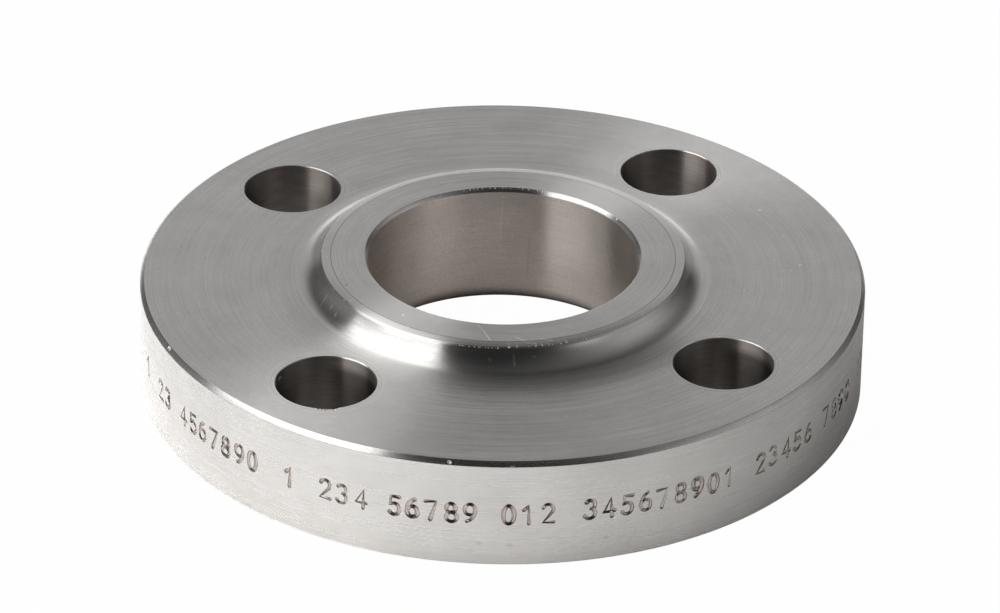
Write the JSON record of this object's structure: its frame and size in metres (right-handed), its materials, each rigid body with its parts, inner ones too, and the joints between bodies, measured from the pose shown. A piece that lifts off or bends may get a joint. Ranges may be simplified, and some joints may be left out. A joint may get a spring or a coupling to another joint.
{
  "type": "lap joint flange",
  "caption": "Loose pipe flange with a low hub, a plain bore with a large corner radius at its flat mating face, and through holes for bolts on a circle.",
  "frame": {"origin": "centre of the bore on the flat mating face", "axes": "+Z along the bore axis, towards the hub; the bolt holes straddle the X and Y axes, so the first is at 45 degrees from +X"},
  "size_m": [0.1172, 0.1172, 0.0222],
  "materials": {
    "turned_stainless_steel": "satin, with fine turning marks round the bore axis"
  },
  "bodies": {
    "root": {"lap_joint_flange": "turned_stainless_steel"}
  },
  "joints": []
}
